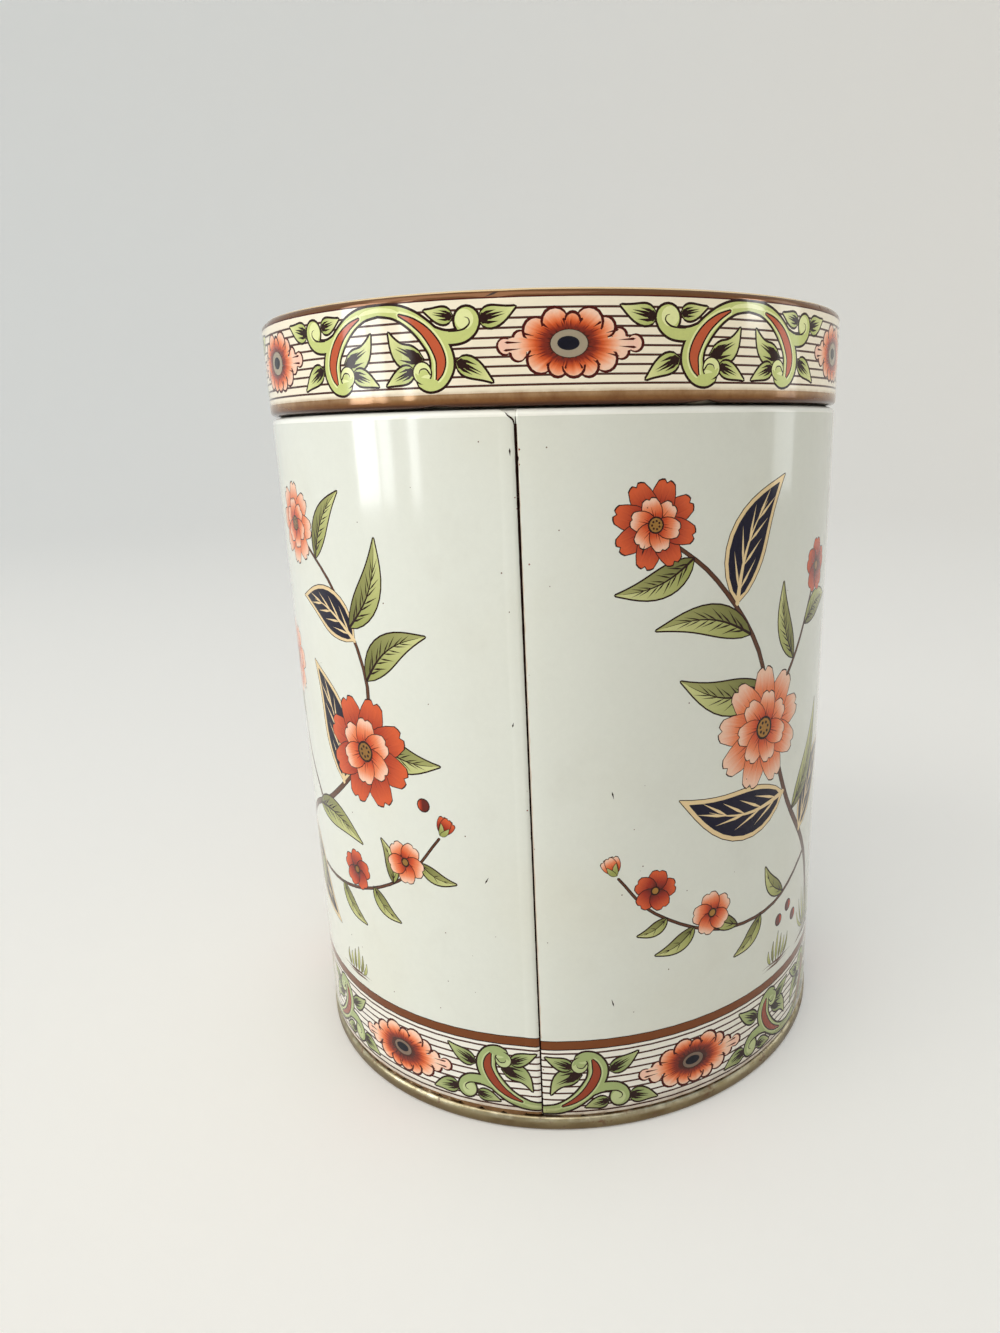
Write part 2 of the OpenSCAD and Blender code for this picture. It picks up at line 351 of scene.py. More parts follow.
lowSpray = dict(  # bowed spray, foot to the right
    branches=(((66, 21, 1.7), (63, 36, 1.5), (53, 47, 1.3), (41, 53, 1.1), (31, 62, 0.95), (27, 75, 0.75), (33, 89, 0.55),
               (42, 97, 0.4)),
              ((60.3, 40.6, 0.8), (46, 37, 0.6), (33, 38.5, 0.5), (22, 44, 0.4), (15, 52, 0.3)),
              ((46, 50.7, 0.8), (53, 60, 0.7), (55, 72, 0.5))),
    navyLeaves=(((36, 57), (42.5, 77), 8.8), ((29, 82), (44, 87.5), 7.2), ((56, 43.5), (43, 27.5), 8.2)),
    leaves=(((48, 49.5), (32, 47), 4.8, -0.1), ((28, 68), (14, 64), 4.8, 0.12), ((27, 76), (15, 84), 4.8, -0.12),
            ((30, 84), (23, 98), 4.6, 0.12), ((54, 64), (66, 69), 4.4, 0.12), ((38, 94), (30, 104.5), 3.8, -0.1)),
    smallLeaves=(((50, 37.8), (51.5, 31), 2.6), ((40, 37.3), (33, 31.5), 2.8), ((30, 39.8), (24, 35), 2.6),
                 ((25, 42), (27, 49.5), 2.6), ((19, 47), (12.5, 44.5), 2.2)),
    blossoms=(((29, 64), 8.6, 8, "petalDeep", 0.35), ((45, 99), 6.0, 8, "petal", 0.1),
              ((55.5, 75), 6.4, 8, "petal", 0.7)),
    flowers=(((34.5, 41.5), 3.3, 0.4, "petalDeep"), ((22, 46.5), 3.4, 0.9, "petal")),
    bud=((14.6, 53), 2.1, 2.6, "petalDeep"),
    berries=((17.5, 57.2), (60, 56.5), (62.5, 53)),
    grass=((64, 20.5, 9, 9, -0.12), (38, 20.3, 6, 5, -0.1)))


def drawSpray(spray):
    for points in spray["branches"]:
        branchLine(*points)
    for leaf in spray["navyLeaves"]:
        navyLeaf(*leaf)
    for leaf in spray["leaves"]:
        gardenLeaf(*leaf)
    for leaf in spray["smallLeaves"]:
        gardenLeaf(*leaf, bend=0.12, pairs=3)
    for flower in spray["blossoms"]:
        blossom(*flower)
    for flower in spray["flowers"]:
        smallFlower(*flower)
    bud(*spray["bud"])
    berries(*spray["berries"])
    for tuft in spray["grass"]:
        grass(*tuft)


# flat panels of print: every outline becomes edges of the mesh, so each ink has its own faces
def inside(poly, pts):  # points within a closed outline that may cross itself
    wind = np.zeros(len(pts), int)
    x, z = pts[:, 0], pts[:, 1]
    for (ax, az), (bx, bz) in zip(poly, np.roll(poly, -1, 0)):
        if az == bz:
            continue
        left = (bx - ax) * (z - az) - (x - ax) * (bz - az)
        wind += ((az <= z) & (bz > z) & (left > 0)).astype(int) - ((az > z) & (bz <= z) & (left < 0)).astype(int)
    return wind != 0


def printPanel(outline, spots, shapes, lines=()):
    points = [tuple(p) for p in outline]
    edges = [(i, (i + 1) % len(points)) for i in range(len(points))]
    points += [tuple(p) for p in spots]
    for line in lines:
        edges += [(len(points) + i, len(points) + i + 1) for i in range(len(line) - 1)]
        points += [tuple(p) for p in line]
    low, high = np.min(outline, 0), np.max(outline, 0)
    shapes = [s for s in shapes if np.all(s[1].max(0) > low) and np.all(s[1].min(0) < high)]
    for ink, pts, own in shapes:
        first, count = len(points), len(pts)
        points += [tuple(p) for p in pts]
        edges += [(first + i, first + (i + 1) % count) for i in range(count)]
    flat = delaunay_2d_cdt([Vector(p) for p in points], edges, [], 0, 1e-4, False)
    verts = np.array([tuple(p) for p in flat[0]])
    tris = np.array(flat[2])
    mid = verts[tris].mean(1)
    keep = inside(np.array(outline), mid)
    tris, mid = tris[keep], mid[keep]
    order = np.argsort(mid[:, 0])
    sortedX = mid[order, 0]
    top = np.full(len(tris), -1)
    for i, (ink, pts, own) in enumerate(shapes):
        lo, hi = pts.min(0), pts.max(0)
        near = order[np.searchsorted(sortedX, lo[0]):np.searchsorted(sortedX, hi[0])]
        near = near[(mid[near, 1] > lo[1]) & (mid[near, 1] < hi[1])]
        if len(near):
            top[near[inside(pts, mid[near])]] = i
    used = np.unique(tris)
    renum = np.zeros(len(verts), int)
    renum[used] = np.arange(len(used))
    print("  panel:", len(shapes), "shapes,", len(tris), "triangles")
    return verts[used], renum[tris], top, shapes


# finishes
def tone(r, g, b):  # a screen colour as the shader takes it
    lin = lambda c: c / 12.92 if c <= 0.04045 else ((c + 0.055) / 1.055) ** 2.4
    return (lin(r / 255), lin(g / 255), lin(b / 255), 1.0)


def addNode(tree, kind, **settings):
    node = tree.nodes.new("ShaderNode" + kind)
    for key, value in settings.items():
        setattr(node, key, value)
    return node


def noise(tree, coords, scale, detail=2.0, rough=0.5):
    node = addNode(tree, "TexNoise")
    node.inputs["Scale"].default_value = scale
    node.inputs["Detail"].default_value = detail
    node.inputs["Roughness"].default_value = rough
    tree.links.new(coords, node.inputs["Vector"])
    return node.outputs["Fac"]


def sums(tree, operation, a, b, c=None):
    node = addNode(tree, "Math", operation=operation)
    for socket, value in zip(node.inputs, (a, b, c)):
        if isinstance(value, (int, float)):
            socket.default_value = value
        elif value is not None:
            tree.links.new(value, socket)
    return node.outputs[0]


def remap(tree, value, low, high):  # soft step from 0 at low to 1 at high
    node = addNode(tree, "MapRange", interpolation_type="SMOOTHSTEP")
    node.inputs["From Min"].default_value = low
    node.inputs["From Max"].default_value = high
    tree.links.new(value, node.inputs["Value"])
    return node.outputs["Result"]


def blendTones(tree, mask, first, second, mode="MIX"):
    node = addNode(tree, "Mix", data_type="RGBA", blend_type=mode)
    for socket, value in ((node.inputs[0], mask), (node.inputs[6], first), (node.inputs[7], second)):
        if isinstance(value, (int, float, tuple)):
            socket.default_value = value
        else:
            tree.links.new(value, socket)
    return node.outputs[2]


def heightOf(tree, coords):
    split = addNode(tree, "SeparateXYZ")
    tree.links.new(coords, split.inputs[0])
    return split.outputs[2]


def effectGroup(name, inputs, outputs):
    tree = bpy.data.node_groups.new(name, "ShaderNodeTree")
    for label, kind in inputs:
        tree.interface.new_socket(name=label, in_out="INPUT", socket_type="NodeSocket" + kind)
    for label, kind in outputs:
        tree.interface.new_socket(name=label, in_out="OUTPUT", socket_type="NodeSocket" + kind)
    return tree, tree.nodes.new("NodeGroupInput"), tree.nodes.new("NodeGroupOutput")


def makeVarnishedPrint():  # litho print under varnish: grain, slow yellowing, handling dirt
    tree, given, out = effectGroup("varnishedPrint", (("Coords", "Vector"), ("Ink", "Color"), ("Grain", "Float")),
                                   (("Ink", "Color"), ("Roughness", "Float"), ("Height", "Float")))
    coords = given.outputs["Coords"]
    broad = noise(tree, coords, 38, 3)
    fine = noise(tree, coords, 900, 2)
    screen = noise(tree, coords, 3600, 1)
    grain = sums(tree, "MULTIPLY", sums(tree, "SUBTRACT", screen, 0.5), given.outputs["Grain"])
    level = sums(tree, "ADD", sums(tree, "MULTIPLY_ADD", fine, 0.04, 0.98), grain)
    scaled = addNode(tree, "VectorMath", operation="SCALE")
    tree.links.new(given.outputs["Ink"], scaled.inputs[0])
    tree.links.new(level, scaled.inputs["Scale"])
    aged = blendTones(tree, sums(tree, "MULTIPLY", remap(tree, broad, 0.4, 0.8), 0.2), scaled.outputs[0],
                      tone(246, 236, 214), "MULTIPLY")
    dirt = sums(tree, "MULTIPLY", remap(tree, noise(tree, coords, 95, 3, 0.55), 0.52, 0.80), 0.05)
    handled = blendTones(tree, dirt, aged, tone(150, 120, 86), "MULTIPLY")
    height = heightOf(tree, coords)
    overRim = sums(tree, "SUBTRACT", 1.0, remap(tree, height, 3.0 * mm, 6.0 * mm))
    offCurl = sums(tree, "ABSOLUTE", sums(tree, "SUBTRACT", height, 116.8 * mm), 0.0)
    overCurl = sums(tree, "SUBTRACT", 1.0, remap(tree, offCurl, 0.4 * mm, 1.1 * mm))
    patchy = sums(tree, "MULTIPLY_ADD", noise(tree, coords, 320, 4, 0.65), 1.4, -0.2)
    settled = sums(tree, "MULTIPLY", sums(tree, "MAXIMUM", overRim, overCurl), patchy)  # dirt above the rim and the curl
    dirty = blendTones(tree, sums(tree, "MINIMUM", settled, 0.8), handled, tone(168, 134, 98), "MULTIPLY")
    tree.links.new(dirty, out.inputs["Ink"])
    rubbed = sums(tree, "MULTIPLY_ADD", remap(tree, broad, 0.3, 0.7), 0.04, 0.08)
    tree.links.new(sums(tree, "MULTIPLY_ADD", fine, 0.05, rubbed), out.inputs["Roughness"])
    tree.links.new(sums(tree, "MULTIPLY_ADD", broad, 3.0, fine), out.inputs["Height"])
    return tree


def makeTinWear():  # bare tinplate: spangle, rubbing and specks of rust
    tree, given, out = effectGroup(
        "tinWear", (("Coords", "Vector"), ("Tin", "Color"), ("Rust", "Float"), ("Smear", "Float")),
        (("Colour", "Color"), ("Roughness", "Float"), ("Metallic", "Float"), ("Height", "Float")))
    coords = given.outputs["Coords"]
    smear = noise(tree, coords, 120, 4, 0.6)
    fine = noise(tree, coords, 1500, 3, 0.6)
    pits = sums(tree, "MULTIPLY_ADD", fine, 0.45, noise(tree, coords, 260, 5, 0.65))
    spots = remap(tree, sums(tree, "ADD", pits, given.outputs["Rust"]), 0.98, 1.12)
    smeared = sums(tree, "MULTIPLY", remap(tree, smear, 0.35, 0.68), given.outputs["Smear"])
    dull = blendTones(tree, smeared, given.outputs["Tin"], tone(104, 84, 56))
    tree.links.new(blendTones(tree, spots, dull, tone(104, 62, 34)), out.inputs["Colour"])
    rough = sums(tree, "MULTIPLY_ADD", smear, 0.25, 0.22)
    tree.links.new(sums(tree, "MULTIPLY_ADD", spots, 0.35, rough), out.inputs["Roughness"])
    tree.links.new(sums(tree, "SUBTRACT", 1.0, sums(tree, "MULTIPLY", spots, 0.85)), out.inputs["Metallic"])
    tree.links.new(sums(tree, "ADD", fine, sums(tree, "MULTIPLY", spots, 1.5)), out.inputs["Height"])
    return tree


varnishedPrint = makeVarnishedPrint()
tinWear = makeTinWear()


def blankFinish(name):
    mat = bpy.data.materials.new(name)
    mat.use_nodes = True
    return mat, mat.node_tree, mat.node_tree.nodes["Principled BSDF"]


def useGroup(tree, group, coords):
    node = addNode(tree, "Group", node_tree=group)
    tree.links.new(coords, node.inputs["Coords"])
    return node


def addBump(tree, shader, height, depth):
    bump = addNode(tree, "Bump")
    bump.inputs["Strength"].default_value = 0.5
    bump.inputs["Distance"].default_value = depth
    tree.links.new(height, bump.inputs["Height"])
    tree.links.new(bump.outputs["Normal"], shader.inputs["Normal"])


def inkFinish(name, colour, grain=0.10, metal=0.0, stops=None, streak=0.0, radial=False, gloss=0.24, rise=None):
    mat, tree, shader = blankFinish(name)
    coords = addNode(tree, "TexCoord").outputs["Object"]
    group = useGroup(tree, varnishedPrint, coords)
    group.inputs["Grain"].default_value = grain
    group.inputs["Ink"].default_value = tone(*colour)
    if stops:  # shading along the motif, with streaks drawn out from its root
        own = coords if rise else addNode(tree, "UVMap", uv_map="inkMap").outputs["UV"]
        split = addNode(tree, "SeparateXYZ")
        tree.links.new(own, split.inputs[0])
        far = split.outputs[0]
        if rise:  # or by height on the tin, in millimetres
            far = remap(tree, split.outputs[2], rise[0] * mm, rise[1] * mm)
            rays = noise(tree, coords, 160, 3)
        elif radial:
            size = addNode(tree, "VectorMath", operation="LENGTH")
            tree.links.new(own, size.inputs[0])
            far = size.outputs["Value"]
            unit = addNode(tree, "VectorMath", operation="NORMALIZE")
            tree.links.new(own, unit.inputs[0])
            rays = noise(tree, unit.outputs[0], 9, 2)
        else:
            across = sums(tree, "DIVIDE", split.outputs[1], sums(tree, "ADD", far, 0.25))
            flow = addNode(tree, "CombineXYZ")
            tree.links.new(across, flow.inputs[0])
            rays = noise(tree, flow.outputs[0], 22, 2)
        far = sums(tree, "MULTIPLY_ADD", sums(tree, "SUBTRACT", rays, 0.5), streak, far)
        ramp = addNode(tree, "ValToRGB")
        while len(ramp.color_ramp.elements) < len(stops):
            ramp.color_ramp.elements.new(0.5)
        for element, (place, shade) in zip(ramp.color_ramp.elements, stops):
            element.position = place
            element.color = tone(*shade)
        tree.links.new(far, ramp.inputs["Fac"])
        tree.links.new(ramp.outputs["Color"], group.inputs["Ink"])
    tree.links.new(group.outputs["Ink"], shader.inputs["Base Color"])
    tree.links.new(group.outputs["Roughness"], shader.inputs["Roughness"])
    shader.inputs["Metallic"].default_value = metal
    shader.inputs["Specular IOR Level"].default_value = gloss
    shader.inputs["Coat Weight"].default_value = gloss * 0.5
    shader.inputs["Coat Roughness"].default_value = 0.05
    addBump(tree, shader, group.outputs["Height"], 0.006 * mm)
    return mat


def tinFinish(name, colour, rust, smear, shadedRim=False):
    mat, tree, shader = blankFinish(name)
    coords = addNode(tree, "TexCoord").outputs["Object"]
    group = useGroup(tree, tinWear, coords)
    group.inputs["Tin"].default_value = tone(*colour)
    group.inputs["Rust"].default_value = rust
    group.inputs["Smear"].default_value = smear
    shade = group.outputs["Colour"]
    if shadedRim:  # painted shade low on the folded rim and a painted highlight on its crest, broken up in rubbed patches
        height = heightOf(tree, coords)
        paintedShadeLow = sums(tree, "MULTIPLY_ADD", remap(tree, height, 0.7 * mm, 2.1 * mm), -0.8, 0.8)
        shade = blendTones(tree, paintedShadeLow, shade, tone(112, 94, 66))
        rubbed = remap(tree, noise(tree, coords, 240, 4, 0.65), 0.30, 0.75)
        # crest: painted highlight on the bead's top, in rubbed patches
        crest = sums(tree, "MULTIPLY", remap(tree, height, 1.5 * mm, 2.2 * mm), rubbed)
        shade = blendTones(tree, crest, shade, tone(205, 198, 172))
    tree.links.new(shade, shader.inputs["Base Color"])
    tree.links.new(group.outputs["Roughness"], shader.inputs["Roughness"])
    tree.links.new(group.outputs["Metallic"], shader.inputs["Metallic"])
    addBump(tree, shader, group.outputs["Height"], 0.03 * mm)
    return mat


inks = {}


def inkSet(look, **colours):  # inks that differ only in colour
    for name, colour in colours.items():
        inks[name] = inkFinish(name, colour, **look)


def shadedInk(name, *stops, **look):  # ink that changes along its motif: places and colours
    inks[name] = inkFinish(name, stops[0][1], stops=stops, **look)


# wallPale is the wall's ground painted paler, a painted highlight on the shoulder
inkSet(dict(grain=0.02, gloss=0.42), wallGround=(226, 227, 217), wallPale=(247, 246, 238), lidGround=(248, 236, 212),
       borderGround=(242, 237, 226))
inkSet(dict(grain=0.12, gloss=0.15), line=(42, 18, 12), petalLine=(74, 16, 10))
inkSet(dict(gloss=0.15), eye=(14, 14, 28))
inkSet(dict(grain=0.2, gloss=0.15), navy=(22, 18, 42))
inkSet(dict(grain=0.12), ruling=(76, 42, 34))
inkSet(dict(), scroll=(200, 207, 128), scrollLow=(162, 176, 116), scrollPale=(230, 233, 168), paleLow=(192, 202, 146),
       inlay=(194, 88, 52), inlayLow=(150, 58, 28), petalTip=(248, 200, 178), rust=(122, 34, 12),
       seamStain=(214, 198, 180), eyeRing=(162, 148, 126), ringDark=(126, 104, 88), stem=(92, 52, 30))
inkSet(dict(grain=0.08, metal=0.7), gold=(160, 116, 58))
inkSet(dict(grain=0.08, metal=0.4), copper=(122, 66, 28))
# paleGold is the pale gold print of the navy leaves, and a painted highlight along the lid's top edge
inkSet(dict(grain=0.08, metal=0.1), paleGold=(234, 206, 158))
# edgeGold: the lid edge's gold printed darker and duller, a painted reflection of dark surroundings
inkSet(dict(metal=0.4), edgeGold=(116, 76, 44))
inkSet(dict(metal=0.3), footGold=(140, 104, 62))
shadedInk("leaf", (0.2, (178, 187, 108)), (0.9, (224, 225, 158)), streak=0.2)
shadedInk("leafLow", (0.2, (134, 150, 88)), (0.9, (180, 188, 130)), streak=0.2)
shadedInk("olive", (0.1, (154, 158, 84)), (0.9, (206, 206, 142)), streak=0.25)
shadedInk("oliveShade", (0.1, (112, 112, 54)), (0.9, (164, 164, 102)), streak=0.25)
shadedInk("rosette", (0.40, (74, 20, 6)), (0.51, (150, 44, 14)), (0.63, (210, 86, 36)), (0.74, (238, 132, 82)),
          (0.87, (248, 178, 142)), (0.98, (250, 206, 180)), streak=0.24, radial=True)
shadedInk("petal", (0.15, (146, 42, 16)), (0.4, (210, 80, 34)), (0.7, (236, 134, 88)), (0.98, (246, 200, 174)),
          streak=0.3)
shadedInk("petalDeep", (0.15, (98, 26, 12)), (0.5, (164, 46, 20)), (0.95, (214, 90, 46)), streak=0.3)
# curlGold is shaded by height: painted shade at the curl's lower edge and a paler painted reflection towards its top
shadedInk("curlGold", (0.12, (74, 38, 16)), (0.36, (138, 92, 48)), (0.66, (160, 118, 72)), (0.95, (192, 158, 118)),
          metal=0.3, rise=(115.5, 117.3), streak=0.16)
inks["insideTin"] = tinFinish("insideTin", (214, 210, 202), -0.05, 0.25)
# the rim's tin gets painted shade low down and a painted highlight on its crest
inks["rimTin"] = tinFinish("rimTin", (156, 144, 112), 0.2, 0.85, True)
print("finishes made:", len(inks))


# sheet-metal shells
def sheetLine(*moves):  # middle line of the sheet: points, or arcs as centre, radius and angles
    pts = []
    for move in moves:
        if len(move) == 2:
            pts.append(move)
        else:
            cr, cz, rad, a0, a1 = move
            for a in np.radians(np.linspace(a0, a1, max(3, int(abs(a1 - a0) / 24) + 1))):
                pts.append((cr + rad * math.cos(a), cz + rad * math.sin(a)))
    clean = [pts[0]]
    for p in pts[1:]:
        if math.dist(p, clean[-1]) > 0.004:
            clean.append(p)
    return np.array(clean, float)


def sheetSides(line):  # both faces of the sheet, to the left and right of the way along
    d = np.diff(line, axis=0)
    d /= np.linalg.norm(d, axis=1)[:, None]
    d = np.vstack([d[:1], d[:-1] + d[1:], d[-1:]])
    d /= np.linalg.norm(d, axis=1)[:, None]
    n = np.stack([-d[:, 1], d[:, 0]], 1) * sheet / 2
    return line + n, line - n


def addObject(name, data):
    o = bpy.data.objects.new(name, data)
    bpy.context.collection.objects.link(o)
    return o


def selectOnly(*objs):
    bpy.ops.object.select_all(action="DESELECT")
    for o in objs:
        o.select_set(True)
    bpy.context.view_layer.objects.active = objs[-1]


def editAll(o, *steps):
    selectOnly(o)
    bpy.ops.object.mode_set(mode="EDIT")
    bpy.ops.mesh.select_all(action="SELECT")
    for step in steps:
        step()
    bpy.ops.object.mode_set(mode="OBJECT")


seamAt = -math.pi / 2  # the seam faces -Y
fineStep, coarseStep, fineCount = math.radians(0.5), math.radians(2.36), 6


def spun(name, outline):  # turns a profile once round, in fine steps at the seam
    made = []
    half = fineStep * fineCount
    for start, angle, step in ((seamAt + half, 2 * math.pi - 2 * half, coarseStep),
                               (seamAt - half, 2 * half, fineStep)):
        me = bpy.data.meshes.new(name)
        verts = [(r * math.cos(start) * mm, r * math.sin(start) * mm, z * mm) for r, z in outline]
        me.from_pydata(verts, [(i, i + 1) for i in range(len(verts) - 1)], [])
        o = addObject(name, me)
        editAll(o, lambda: bpy.ops.mesh.spin(steps=round(angle / step), angle=angle, center=(0, 0, 0), axis=(0, 0, -1)))
        made.append(o)
    selectOnly(*made)
    bpy.ops.object.join()
    return bpy.context.view_layer.objects.active


def ringColumns():  # x of the spun columns, seam to seam
    fine = [k * fineStep * wallR for k in range(fineCount)]
    coarse = np.arange(fineStep * fineCount, 2 * math.pi - fineStep * fineCount + 1e-6, coarseStep) * wallR
    return fine, list(coarse)


plainMap = np.array([[0.01, 0, 0], [0, 0.01, 0]])  # own map of inks without shading


def panelPiece(name, panel, place, ground):
    flat, tris, top, shapes = panel
    me = bpy.data.meshes.new(name)
    me.from_pydata((place(flat[:, 0], flat[:, 1]) * mm).tolist(), [], tris.tolist())
    used = [ground] + sorted({s[0] for s in shapes})
    for ink in used:
        me.materials.append(inks[ink])
    index = np.array([used.index(s[0]) for s in shapes] + [0])
    me.polygons.foreach_set("material_index", index[top].astype(np.int32))
    maps = np.array([s[2] for s in shapes] + [plainMap])[top]
    corner = flat[tris]
    own = np.einsum("tij,tcj->tci", maps[:, :, :2], corner) + maps[:, None, :, 2]
    me.uv_layers.new(name="inkMap").data.foreach_set("uv", own.astype(np.float32).ravel())
    marked = np.column_stack([flat, np.ones(len(flat))]).astype(np.float32)  # the third column says it is printed
    me.attributes.new("flatPlace", "FLOAT_VECTOR", "POINT").data.foreach_set("vector", marked.ravel())
    return addObject(name, me)


def facePiece(name, verts, faces, ink):
    me = bpy.data.meshes.new(name)
    me.from_pydata([tuple(np.array(v) * mm) for v in verts], [], faces)
    me.materials.append(inks[ink])
    return addObject(name, me)


weld, sliver, crease = 0.0015 * mm, 0.0004 * mm, math.radians(32)  # when points join, edges vanish, edges stay sharp


def finishShell(parts, name, place=None):
    selectOnly(*parts)
    if len(parts) > 1:
        bpy.ops.object.join()
    o = bpy.context.view_layer.objects.active
    editAll(o, lambda: bpy.ops.mesh.remove_doubles(threshold=weld),
            lambda: bpy.ops.mesh.dissolve_degenerate(threshold=sliver),
            lambda: bpy.ops.mesh.normals_make_consistent(inside=False))
    o.name = o.data.name = name
    selectOnly(o)
    bpy.ops.object.shade_smooth_by_angle(angle=crease)
    me = o.data
    if place:  # true normals of the curved wall, whatever the triangles
        flat = np.zeros(len(me.vertices) * 3, np.float32)
        me.attributes["flatPlace"].data.foreach_get("vector", flat)
        flat = flat.reshape(-1, 3).astype(float)
        on = flat[:, 2] > 0.5
        x, z = flat[on, 0], flat[on, 1]
        h = 0.02
        dx = place(x + h, z) - place(x - h, z)
        dz = place(x, z + h) - place(x, z - h)
        n = np.cross(dx, dz)
        n /= np.linalg.norm(n, axis=1)[:, None] + 1e-12
        normals = np.zeros((len(me.vertices), 3))
        normals[on] = n
        me.normals_split_custom_set_from_vertices(normals.tolist())
    return o


def paintFaces(o, choose):  # ink of each spun face by its radius and height in millimetres
    me = o.data
    mid = np.zeros(len(me.polygons) * 3)
    me.polygons.foreach_get("center", mid)
    mid = mid.reshape(-1, 3) / mm
    picks = [choose(math.hypot(x, y), z) for x, y, z in mid]
    used = sorted(set(picks))
    for ink in used:
        me.materials.append(inks[ink])
    me.polygons.foreach_set("material_index", np.array([used.index(p) for p in picks], np.int32))


def step01(v):
    t = np.clip(v, 0, 1)
    return t * t * (3 - 2 * t)


# foot: the wall steps in above the folded rim, which so lies nearly flush with it
foot = dict(drawn=0.8, bend=0.4, low=2.4)


def footIn(z):  # how far the wall's outside stands in at the foot
    return foot["drawn"] * (1 - step01((z - foot["low"]) / foot["drawn"]))


# body wall: printed sheet from the hook in the base to the curl at the mouth
wall = dict(panelLow=1.2, knee=114.31, shoulderR=0.99, neckR=48.16, stepR=0.85, curlR=0.61, curlZ=128.77, curlTurn=285,
            hookLow=0.80, hookTop=1.9, lockHalf=1.75, lockDepth=0.98, lockLow=4.3, lockTop=113.6, wave=0.03,
            foldR=0.8, foldDeep=0.45, tuckR=0.3, tuckDeep=0.3, slit=0.05, tail=0.12, tuck=0.10, proud=0.09, cutDepth=0.15,
            cut=((0.0, 2.6), (0.25, 2.0), (1.0, 1.4), (1.35, 0.95), (2.1, 0.45), (2.5, 0.0)),  # from seam and top
            cutLine=(0.34, 0.3, 0.18, 0.14, 0.1, 0.1))  # width of the line along that cut corner
wall["panelTop"] = wall["knee"] + wall["shoulderR"] * math.pi / 2  # measured over the shoulder
brow = (wallR - wall["shoulderR"], wall["knee"] + wall["shoulderR"])  # upper edge of the printed face
wallPrint = dict(over=5, repeats=6, slant=0.3, secondPair=82, scrollZ=3.75, flowerZ=9.75, stretch=1.07, eye=1.85,
                 line=0.33, topLine=15.3, linePitch=1.27, lowLine=4.05,
                 inks=dict(scroll="scrollLow", scrollPale="paleLow", leaf="leafLow", inlay="inlayLow"),  # printed deeper
                 scuffs=((16.9, 95.4, 0.5, 1.6), (-7.7, 45.3, 0.7, 1.2), (12.1, 23.3, -0.4, 1.5), (12.2, 60.5, 0.3, -1.3),
                         (-0.9, 110.3, 0.03, -1.1), (-2.2, 71.0, 0.2, 0.8)))


def soft(x, z):  # slow waviness of the sheet, none at its ends
    fade = step01((z - 4) / 8) * step01((wall["panelTop"] - z) / 8)
    a = x / wallR
    broad, small = np.sin(2 * a + z * 0.05) * np.sin(z * 0.09 + 1.0), np.sin(5 * a + z * 0.11)
    return fade * wall["wave"] * (1.2 + broad + 0.5 * small)


def cutInside(x, z):  # distance into the cut corner of the folded edge, top left of the seam
    back, down = np.array(wall["cut"]).T
    edge = np.interp(z, wall["panelTop"] - down, back, left=-1.0)
    return np.where(x > turn / 2, edge - (turn - x), -1.0)


def wallPoint(x, z):
    left = x > turn / 2
    q = np.where(left, turn - x, x)
    bend = np.where(left, wall["foldR"], wall["tuckR"])
    deep = np.where(left, wall["foldDeep"], wall["tuckDeep"])
    start = bend + wall["slit"]
    phi = np.clip((start - q) / bend, 0, math.pi / 2)
    past = np.maximum(start - q - bend * math.pi / 2, 0)
    side = np.where(q >= start, q, start - bend * np.sin(phi))
    thin = 0.2 + step01((z - wall["lockLow"] - 0.1) / 0.8) * step01((wall["lockTop"] - 0.1 - z) / 0.5)
    depth = np.minimum(deep * (1 - np.cos(phi)) + past, thin)  # no deeper than the sheet beyond the lock
    fade = step01((z - 3) / 3) * step01((wall["panelTop"] - 0.3 - z) / 3)
    depth = depth + fade * np.where(left, -wall["proud"] * step01((2.7 - side) / 1.1),
                                    wall["tuck"] * np.exp(-(side / 1.4) ** 2))
    recess = wall["cutDepth"] * np.clip(cutInside(x, z) / 0.1, 0, 1)
    over = step01((z - wall["panelTop"] + 2.5) / 0.5)  # the right edge lies flat under the cut corner
    under = depth * (1 - over) + np.minimum(depth, wall["cutDepth"]) * over
    depth = np.where(left, np.where(recess > 0, recess, depth), under) + soft(x, z)
    a = seamAt + np.where(left, -side, side) / wallR
    tilt = np.clip((z - wall["knee"]) / wall["shoulderR"], 0, math.pi / 2)  # over the shoulder
    r = wallR - footIn(z) - wall["shoulderR"] * (1 - np.cos(tilt)) - depth * np.cos(tilt)
    up = np.minimum(z, wall["knee"]) + (wall["shoulderR"] - depth) * np.sin(tilt)
    return np.stack([r * np.cos(a), r * np.sin(a), up], -1)


